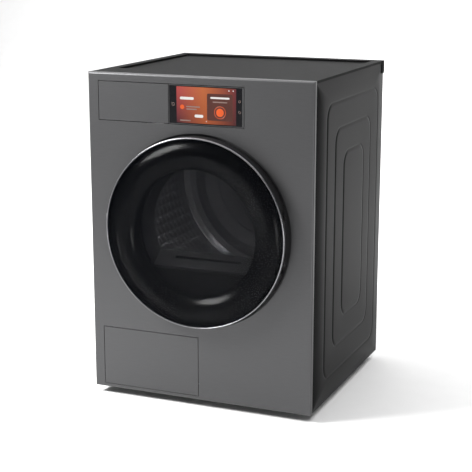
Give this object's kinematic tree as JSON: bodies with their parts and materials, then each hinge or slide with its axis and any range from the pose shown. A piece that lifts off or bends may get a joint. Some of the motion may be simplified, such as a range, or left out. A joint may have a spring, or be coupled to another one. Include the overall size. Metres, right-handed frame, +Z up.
{
  "type": "clothes dryer",
  "caption": "Free-standing heat-pump clothes dryer with a round glass door, drum, water-tank drawer, touch display and service cover.",
  "frame": {"origin": "on the floor, at the middle of the footprint with the door's bulge counted in the depth", "axes": "+Z up, the front faces -Y, +X to the right of someone facing the front"},
  "size_m": [0.6, 0.603, 0.842],
  "materials": {
    "inox_front": "satin",
    "graphite_steel": "satin",
    "zinc_steel": "satin",
    "drum_steel": "satin",
    "black_plastic": "matte",
    "rubber": "matte",
    "felt": "matte",
    "bronze": "satin",
    "copper": "satin",
    "cast_metal": "satin",
    "black_paint": "gloss",
    "fin_aluminium": "satin",
    "door_metal": "satin",
    "tinted_glass": "gloss",
    "clear_glass": "gloss",
    "screen_glass": "gloss"
  },
  "bodies": {
    "cabinet": {"front_panel": "inox_front", "left_side_panel": "graphite_steel", "right_side_panel": "graphite_steel", "worktop_frame": "graphite_steel", "worktop_panel": "graphite_steel", "back_panel": "zinc_steel", "rear_duct_cover": "zinc_steel", "base_tray": "black_plastic", "front_bulkhead": "zinc_steel", "loading_collar": "black_plastic", "door_seal": "rubber", "front_felt_ring": "felt", "rear_bulkhead": "zinc_steel", "rear_bearing": "bronze", "roller_axles": "zinc_steel", "motor_housing": "cast_metal", "blower_housing": "black_plastic", "drive_belt": "rubber", "idler_spring": "zinc_steel", "evaporator": "fin_aluminium", "condenser": "fin_aluminium", "compressor": "black_paint", "refrigerant_pipe": "copper", "condensate_pump": "black_plastic", "display_frame": "inox_front", "display_glass": "screen_glass", "hinge_bracket": "zinc_steel", "door_lock": "zinc_steel", "filter_cover": "black_plastic", "mains_inlet": "black_plastic", "drain_spigot": "black_plastic", "back_screws": "zinc_steel", "foot_front_left": "rubber", "foot_front_right": "rubber", "foot_rear_left": "rubber", "foot_rear_right": "rubber"},
    "tank_drawer": {"drawer_front": "inox_front", "water_tank": "black_plastic"},
    "door": {"door_ring": "door_metal", "door_glass": "tinted_glass", "door_inner_frame": "black_plastic", "inner_window": "clear_glass", "door_handle": "door_metal", "hinge_leaf": "zinc_steel", "door_catch": "black_plastic"},
    "drum": {"drum_shell": "drum_steel", "drum_back": "drum_steel", "perforated_disc": "drum_steel", "drum_lifters": "black_plastic", "drum_spider": "zinc_steel"},
    "roller_left": {"roller_left": "black_plastic"},
    "roller_right": {"roller_right": "black_plastic"},
    "rotor": {"motor_shaft": "zinc_steel", "blower_impeller": "black_plastic"},
    "idler_arm": {"idler_arm": "zinc_steel"},
    "idler_pulley": {"idler_pulley": "black_plastic"},
    "lower_cover": {"lower_cover": "inox_front"},
    "lock_lever_left": {"lock_lever_left": "black_plastic"},
    "lock_lever_right": {"lock_lever_right": "black_plastic"},
    "lint_filter": {"lint_filter": "black_plastic"}
  },
  "joints": [
    {"name": "tank_slide", "type": "slide", "parent": "cabinet", "child": "tank_drawer", "axis": [0, -1, 0], "range_m": [0, 0.36]},
    {"name": "door_hinge", "type": "hinge", "parent": "cabinet", "child": "door", "pos_m": [-0.241, -0.2855, 0.458], "axis": [0, 0, -1], "range_deg": [0, 125]},
    {"name": "drum_spin", "type": "hinge", "parent": "cabinet", "child": "drum", "pos_m": [0, 0, 0.498], "axis": [0, 1, 0], "continuous": true},
    {"name": "roller_left_spin", "type": "hinge", "parent": "cabinet", "child": "roller_left", "pos_m": [-0.1711, -0.185, 0.25365], "axis": [0, 1, 0], "continuous": true},
    {"name": "roller_right_spin", "type": "hinge", "parent": "cabinet", "child": "roller_right", "pos_m": [0.1711, -0.185, 0.25365], "axis": [0, 1, 0], "continuous": true},
    {"name": "rotor_spin", "type": "hinge", "parent": "cabinet", "child": "rotor", "pos_m": [0.06, 0, 0.105], "axis": [0, 1, 0], "continuous": true},
    {"name": "idler_arm_swing", "type": "hinge", "parent": "cabinet", "child": "idler_arm", "pos_m": [0.17, -0.033, 0.078], "axis": [0, 1, 0], "range_deg": [0, 10], "stiffness_Nm_per_rad": 1, "springref_deg": -28.65},
    {"name": "idler_pulley_spin", "type": "hinge", "parent": "idler_arm", "child": "idler_pulley", "pos_m": [0.112, -0.0445, 0.156], "axis": [0, 1, 0], "continuous": true},
    {"name": "lower_cover_hinge", "type": "hinge", "parent": "cabinet", "child": "lower_cover", "pos_m": [-0.137, -0.2605, 0.0371], "axis": [1, 0, 0], "range_deg": [0, 90]},
    {"name": "lock_lever_left_turn", "type": "hinge", "parent": "cabinet", "child": "lock_lever_left", "pos_m": [-0.248, -0.24, 0.113], "axis": [0, 1, 0], "range_deg": [0, 90]},
    {"name": "lock_lever_right_turn", "type": "hinge", "parent": "cabinet", "child": "lock_lever_right", "pos_m": [-0.0255, -0.24, 0.113], "axis": [0, 1, 0], "range_deg": [0, 90]},
    {"name": "lint_filter_lift", "type": "slide", "parent": "cabinet", "child": "lint_filter", "axis": [0, 0, 1], "range_m": [0, 0.1]}
  ],
  "couplings": [
    {"joint": "roller_left_spin", "follows": "drum_spin", "ratio": -10.92},
    {"joint": "roller_right_spin", "follows": "drum_spin", "ratio": -10.92},
    {"joint": "rotor_spin", "follows": "drum_spin", "ratio": 30.333}
  ]
}
